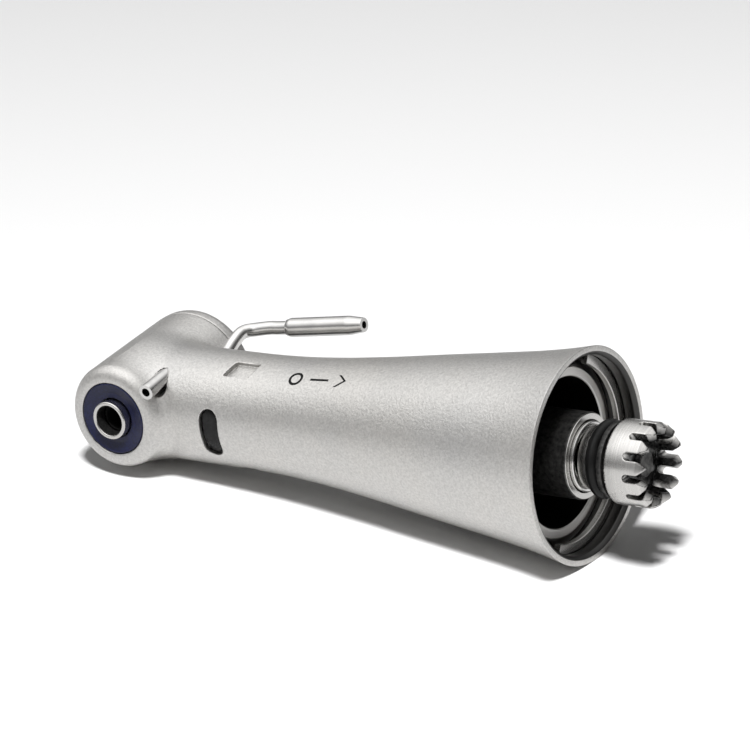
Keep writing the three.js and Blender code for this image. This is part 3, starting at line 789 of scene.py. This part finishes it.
FINISH = {
    "satin_steel": blasted_steel(),
    "polished_steel": polished_steel(),
    "machined_steel": turned_steel("machined_steel", 0, 0.55, 0.3),
    "dark_steel": dark_steel(),
    "bronze": bronze(),
    "black_rubber": black_rubber(),
    "navy_collar": navy_collar(),
    "light_glass": light_glass(),
}
TURNED_X = turned_steel("turned_steel_x", 0, 0.66, 0.24)
BORE_SHADE_STEEL = steel_with_painted_bore_shade()
SHADED_STEEL = turned_steel("shaded_steel", 0, 0.08, 0.34)
BLACK_MARK = matt_black("black_mark")
# painted shade: matt black that darkens the chuck's bore
BORE_SHADE_BLACK = matt_black("painted_bore_shade_black")
TURNED_Y = turned_steel("turned_steel_y", 1, 0.68, 0.24)


def finish(made, slot, material=None):
    """Give a piece its material: the one given, else the one for its slot."""
    made.data.materials.clear()
    made.data.materials.append(material or FINISH[slot])


def paint(made, material, chosen):
    """Give a second material to the faces whose centre (mm, rim frame) passes the test."""
    made.data.materials.append(material)
    for face in made.data.polygons:
        x, y, z = face.center / MM
        if chosen(x - RIM, math.hypot(y, z)):
            face.material_index = 1


def finish_cad_nodes():
    slots = {s["node"]: s["material_slot"] for s in frame["record"]["subparts"]}
    for name, node in frame["nodes"].items():
        node.data.materials.clear()
        node.data.materials.append(FINISH[slots[name]])


# ---- pieces ---------------------------------------------------------------------------------
def make_tail():
    sleeve = turned("nose_sleeve", [
        (-12.1, 6.9), (-12.1, 7.3), (-3.1, 7.3), (-3.1, 8.75), (-2.95, 8.75), (-2.5, 7.75), (-2.5, 7.02),
        (-2.62, 6.9)], "x", "housing", ["socket_sleeve"], 0.05)
    finish(sleeve, "machined_steel")
    paint(sleeve, SHADED_STEEL, lambda x, radius: radius < 7 and x < -2.6)
    clip = arc_ring("retaining_clip", -2.1, -1.5, 8.2, 9.2, -2.0, 1.135, "housing", ["snap_ring"])
    finish(clip, "polished_steel", TURNED_X)
    stem = turned("shaft_tube", [
        (-12.9, 3.3), (-12.9, 7.3), (-12.2, 7.3), (-12.2, 4), (-0.1, 4), (0, 3.9), (0, 3.3)],
        "x", "housing", ["bearing_tube"], 0.08)
    finish(stem, "dark_steel")
    face = turned("shaft_tube_face", [
        (-0.04, 3.32), (-0.04, 3.92), (0.05, 3.88), (0.05, 3.36)], "x", "housing", (), 0.02)
    finish(face, "polished_steel", TURNED_X)
    washer = turned("bearing_front_washer", [
        (-0.5, 2.3), (-0.5, 3.24), (0.3, 3.24), (0.4, 3.14), (0.4, 2.9), (0.05, 2.75), (0.05, 2.3)],
        "x", "housing", ["bearing_washer"], 0.05)
    finish(washer, "polished_steel")


def make_clutch():
    # painted shade: the crown's inner faces and slot walls get steel darkened towards the axis
    finish(make_crown(), "polished_steel", BORE_SHADE_STEEL)
    shaft = turned("drive_shaft", [
        (-17.3, 0), (-17.3, 0.6), (-13.8, 0.6), (-13.8, 1.6), (-3, 1.6), (-3, 2), (0.5, 2), (0.65, 2.95),
        (1.5, 2.95), (1.5, 2.38), (2.8, 2.38), (2.8, 1.2), (SHAFT_END - 0.08, 1.2), (SHAFT_END, 1.12),
        (SHAFT_END, 0)], "x", "input", ["input_shaft"], 0.06)
    finish(shaft, "polished_steel", TURNED_X)
    # painted shade: the shaft's end inside the crown's cup gets the dark steel
    paint(shaft, FINISH["dark_steel"], lambda x, radius: x > 3.7)
    flange = turned("shaft_flange", [
        (2.8, 1.2), (2.8, 2.95), (2.9, 3.55), (3.4, 3.55), (3.45, 2.6), (3.6, 2.6), (3.6, 1.2)],
        "x", "input", (), 0.06)
    finish(flange, "dark_steel")
    turns = np.linspace(0, 2 * math.pi, 160, endpoint=False)
    section = np.linspace(0, 2 * math.pi, 40, endpoint=False)
    points = [
        (O_RING_X + 0.59 * math.sin(s), (3.02 + 0.6 * math.cos(s)) * math.cos(t),
         (3.02 + 0.6 * math.cos(s)) * math.sin(t))
        for t in turns for s in section
    ]
    n, m = len(turns), len(section)
    faces = [
        (i * m + j, i * m + (j + 1) % m, (i + 1) % n * m + (j + 1) % m, (i + 1) % n * m + j)
        for i in range(n) for j in range(m)
    ]
    finish(piece("o_ring", points, faces, "input", ["shaft_o_ring"]), "black_rubber")


def make_head():
    cap = turned("cap_ring", [
        (5.1, 3.9), (5.1, 4.25), (CAP_SEAM + 0.1, 4.25), (CAP_SEAM + 0.1, CAP_R - 0.06),
        (CAP_SEAM + 0.2, CAP_R), (7.7, CAP_R - 0.01), (8.15, CAP_R - 0.12), (8.45, CAP_R - 0.34),
        (8.6, CAP_R - 0.7), (CAP_TOP, CAP_R - 1.1), (CAP_TOP, 4.85), (8.55, 4.75), (7.3, 4.75), (7.3, 3.9)],
        "head", "housing", ["head_cap"], 0.09)
    finish(cap, "satin_steel")
    button = turned("button_cap", [
        (5.75, 0), (5.75, 0.9), (7.9, 1), (7.9, 3.2), (6.3, 3.2), (6.3, 3.8), (7.95, 3.8), (7.95, 4.65),
        (8.5, 4.65), (8.68, 4.55), (8.75, 4.3), (8.84, 3.0), (8.88, 1.5), (8.9, 0)],
        "head", "button", ["push_button"], 0.12)
    finish(button, "satin_steel")
    collar = turned("chuck_collar_ring", [
        (-5.4, 1.98), (-5.4, COLLAR_R), (BUR_FACE + 0.12, COLLAR_R), (BUR_FACE + 0.02, COLLAR_R - 0.1),
        (BUR_FACE + 0.08, 3.3), (BUR_FACE + 0.34, 2.5), (BUR_FACE + 0.36, 1.98)],
        "head", "housing", ["chuck_collar"], 0.08)
    finish(collar, "navy_collar")
    spindle = turned("chuck_tube", [
        (SPINDLE_TIP + 0.05, 1.52), (SPINDLE_TIP, 1.6), (SPINDLE_TIP, 1.78), (SPINDLE_TIP + 0.1, 1.88),
        (-5.3, 1.88), (-5.3, 1.7), (5.2, 1.7), (5.2, 1.48), (SPINDLE_TIP + 0.15, 1.48)],
        "head", "spindle", ["chuck_spindle"], 0.05)
    finish(spindle, "polished_steel", TURNED_Y)
    # painted shade: a thin matt black sheet inside the chuck tube makes its bore look dark
    bore_shade_sheet = turned("chuck_mouth_shade_sheet", [
        (SPINDLE_TIP + 0.12, 1.44), (SPINDLE_TIP + 0.12, 1.47), (-5.8, 1.47), (-5.8, 1.44)],
        "head", "spindle", (), 0.01)
    finish(bore_shade_sheet, "dark_steel", BORE_SHADE_BLACK)
    finish(window_insert(), "light_glass")
    # painted shade: the collet gets the same matt black, darkening the bore
    collet = turned("collet_sleeve", [(-5.75, 1.25), (-5.75, 1.38), (1.2, 1.38), (1.2, 1.19), (-5.6, 1.19)],
                    "head", "spindle", ["chuck_collet"], 0.03)
    finish(collet, "dark_steel", BORE_SHADE_BLACK)
    make_spring("return_spring", "button_spring", 2.6, 0.2, 2.5, 5.52, 7.65, "housing")
    make_spring("ejector_spring", "plunger_spring", 1.05, 0.14, 2.5, 1.45, 2.5, "spindle")


def window_insert():
    """The dark lens that fills the light window."""
    def inset(x, y, z):
        out = -y * math.cos(WINDOW_TURN) + z * math.sin(WINDOW_TURN)
        flat = window_cut(x, y, z, 1.95, 4.65, -99)
        top = np.hypot(y, z) - 5.12
        return round_max(round_max(flat, top, 0.1), 3.9 - out, 0.05)
    lowest = [c - 0.3 for c in low("light_window")]
    highest = [c + 0.3 for c in high("light_window")]
    lowest[0] -= RIM
    highest[0] -= RIM
    points, quads = skin(inset, lowest, highest, 0.08)
    return piece("window_lens", points, quads, "housing", ["light_window"])


def make_spring(name, node, radius, wire, turns, start, end, body):
    """A coil of wire round the chuck axis, carried by one body."""
    t = np.linspace(0, 2 * math.pi * turns, 140)
    path = np.stack([HEAD_X + radius * np.cos(t), np.linspace(start, end, len(t)), radius * np.sin(t)], 1)
    coil = tube(name, path, wire, 0.02, body, [node], sides=12)
    finish(coil, "polished_steel")
    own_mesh(coil)


def make_irrigation():
    straight = np.linspace(NOZZLE_TIP, NOZZLE_END, 24)

    def tip_r(s):
        return 0.78 - 0.04 * np.exp(-s * 80)
    finish(tube("spray_tip", straight, tip_r, 0.43, "housing", ["spray_nozzle"]), "polished_steel")
    finish(tube("irrigation_line", curve_through(LINE, 14), 0.66, 0.4, "housing", ["irrigation_tube"]),
           "polished_steel")
    start, end = (np.array(p, float) for p in BARB)
    length = np.linalg.norm(end - start)
    path = np.linspace(start, end, 90)

    def barrel_r(s):
        along = s * length
        return np.interp(along, [0, 0.35, 0.5, length - 1.75, length - 1.6, length - 0.05, length],
                         [0.8, 0.92, 0.935, 0.935, 0.925, 0.71, 0.69])

    def hole_r(s):
        return np.where(s * length < length - 1.1, 0.82, 0.36)
    finish(tube("hose_sleeve", path, barrel_r, hole_r, "housing", ["hose_barb"]), "polished_steel")


# ---- stage: floor, light and camera ---------------------------------------------------------
FLOOR_TILT = 0.0765
FLOOR_SIZE = 3
FLOOR_GAP = 1.0005
FLOOR_IN_REFLECTIONS = 0.77
KEY_AT = (0.145, -0.253, 0.5)
KEY_AIM = (-0.03, -0.003, 0)
KEY_SIZE = 0.09
KEY_POWER = 5.5
CAMERA_BACK = Vector((0.547, -0.770, 0.327)).normalized()
CAMERA_UP = Vector((-0.106, 0.324, 0.939)).normalized()
CAMERA_DISTANCE = 0.3588
CAMERA_LENS = 192
REFLECTED_SKY = [
    (0.0, 0.6), (0.46, 0.5), (0.52, 0.29), (0.62, 0.29), (0.72, 0.68), (0.86, 1.6), (1.0, 1.95),
]
SKY_ON_FLOOR = 0.07
DARK_SIDE = 0.75
DARK_BACK = 0.3
TARGET = Vector((RIM - 16.7, -8.0, 8.6)) * MM


def make_floor():
    normal = Vector((math.sin(FLOOR_TILT), 0, math.cos(FLOOR_TILT)))
    mesh = bpy.data.meshes.new("floor")
    corners = [(FLOOR_SIZE * a, FLOOR_SIZE * b, 0) for a, b in ((-1, -1), (1, -1), (1, 1), (-1, 1))]
    mesh.from_pydata(corners, [], [(0, 1, 2, 3)])
    floor = bpy.data.objects.new("floor", mesh)
    bpy.context.scene.collection.objects.link(floor)
    floor.rotation_euler = normal.to_track_quat("Z", "Y").to_euler()
    rim = Vector((RIM, 0, 0)) * MM
    floor.location = rim - normal * (RIM_R * FLOOR_GAP) * MM
    m = Nodes("floor")
    seen = m.add("ShaderNodeLightPath")
    pale = m.ramp(m.noise(3, 2), [(0.4, grey(0.86)), (0.6, grey(0.88))])
    dim = m.add("ShaderNodeMix", data_type="RGBA", blend_type="MULTIPLY")
    dim.inputs["B"].default_value = grey(FLOOR_IN_REFLECTIONS)
    m.link(seen.outputs["Is Glossy Ray"], dim.inputs["Factor"])
    m.link(pale, dim.inputs["A"])
    m.give("Base Color", dim.outputs["Result"])
    m.set(Roughness=0.7)
    mesh.materials.append(m.material)


def make_key_light():
    """One soft light that throws the shadow. Reflections show only the sky."""
    data = bpy.data.lights.new("key", "AREA")
    data.shape = "RECTANGLE"
    data.size = KEY_SIZE
    data.size_y = KEY_SIZE
    data.energy = KEY_POWER
    lamp = bpy.data.objects.new("key", data)
    lamp.location = KEY_AT
    lamp.rotation_euler = (Vector(KEY_AT) - Vector(KEY_AIM)).to_track_quat("Z", "Y").to_euler()
    lamp.visible_glossy = False
    bpy.context.scene.collection.objects.link(lamp)


def make_world():
    """White to the camera, bright above a darker band in reflections, and dim on the floor."""
    world = bpy.data.worlds.new("studio")
    bpy.context.scene.world = world
    world.use_nodes = True
    tree = world.node_tree
    coords = tree.nodes.new("ShaderNodeTexCoord")
    split = tree.nodes.new("ShaderNodeSeparateXYZ")
    ramp = tree.nodes.new("ShaderNodeValToRGB")
    height = tree.nodes.new("ShaderNodeMapRange")
    height.inputs["From Min"].default_value = -1
    height.inputs["From Max"].default_value = 1
    tree.links.new(coords.outputs["Generated"], split.inputs[0])
    tree.links.new(split.outputs["Z"], height.inputs["Value"])
    tree.links.new(height.outputs["Result"], ramp.inputs["Fac"])
    stops = REFLECTED_SKY
    ramp.color_ramp.elements[0].position = stops[0][0]
    ramp.color_ramp.elements[0].color = grey(stops[0][1])
    ramp.color_ramp.elements[1].position = stops[-1][0]
    ramp.color_ramp.elements[1].color = grey(stops[-1][1])
    for at, value in stops[1:-1]:
        ramp.color_ramp.elements.new(at).color = grey(value)
    seen = tree.nodes.new("ShaderNodeLightPath")
    plain = tree.nodes.new("ShaderNodeMapRange")
    plain.inputs["To Min"].default_value = SKY_ON_FLOOR
    plain.inputs["To Max"].default_value = 1.0
    tree.links.new(seen.outputs["Is Camera Ray"], plain.inputs["Value"])
    shown = tree.nodes.new("ShaderNodeBackground")
    tree.links.new(plain.outputs["Result"], shown.inputs["Strength"])
    shown.inputs["Color"].default_value = (1, 1, 1, 1)
    lit = tree.nodes["Background"]
    side = tree.nodes.new("ShaderNodeMapRange")
    side.interpolation_type = "SMOOTHSTEP"
    side.inputs["From Min"].default_value = 0.1
    side.inputs["From Max"].default_value = 0.8
    side.inputs["To Min"].default_value = 1.0
    side.inputs["To Max"].default_value = 1 - DARK_SIDE
    tree.links.new(split.outputs["X"], side.inputs["Value"])
    back = tree.nodes.new("ShaderNodeMapRange")
    back.interpolation_type = "SMOOTHSTEP"
    back.inputs["From Min"].default_value = -0.15
    back.inputs["From Max"].default_value = 0.4
    back.inputs["To Min"].default_value = 1.0
    back.inputs["To Max"].default_value = 1 - DARK_BACK
    tree.links.new(split.outputs["Y"], back.inputs["Value"])
    both = tree.nodes.new("ShaderNodeMath")
    both.operation = "MULTIPLY"
    tree.links.new(side.outputs["Result"], both.inputs[0])
    tree.links.new(back.outputs["Result"], both.inputs[1])
    tree.links.new(both.outputs["Value"], lit.inputs["Strength"])
    mix = tree.nodes.new("ShaderNodeMixShader")
    tree.links.new(ramp.outputs["Color"], lit.inputs["Color"])
    tree.links.new(seen.outputs["Is Glossy Ray"], mix.inputs[0])
    tree.links.new(shown.outputs[0], mix.inputs[1])
    tree.links.new(lit.outputs[0], mix.inputs[2])
    tree.links.new(mix.outputs[0], tree.nodes["World Output"].inputs["Surface"])


def make_camera():
    data = bpy.data.cameras.new("camera")
    data.lens = CAMERA_LENS
    data.sensor_width = 36
    data.clip_start = 0.01
    camera = bpy.data.objects.new("camera", data)
    side = CAMERA_UP.cross(CAMERA_BACK).normalized()
    up = CAMERA_BACK.cross(side)
    turn = Matrix((side, up, CAMERA_BACK)).transposed().to_4x4()
    camera.matrix_world = Matrix.Translation(TARGET + CAMERA_BACK * CAMERA_DISTANCE) @ turn
    bpy.context.scene.collection.objects.link(camera)
    bpy.context.scene.camera = camera


finish_cad_nodes()
housing_shell = make_shell()
finish(housing_shell, "satin_steel")
paint(
    housing_shell, SHADED_STEEL,
    lambda x, radius: x > SEAM and radius < min(9.5, float(outline(x)) - 0.3))
make_tail()
make_clutch()
make_head()
make_irrigation()
for mark in make_mark():
    finish(mark, "satin_steel", BLACK_MARK)
make_floor()
make_world()
make_key_light()
make_camera()
bpy.context.scene.view_settings.view_transform = "Standard"
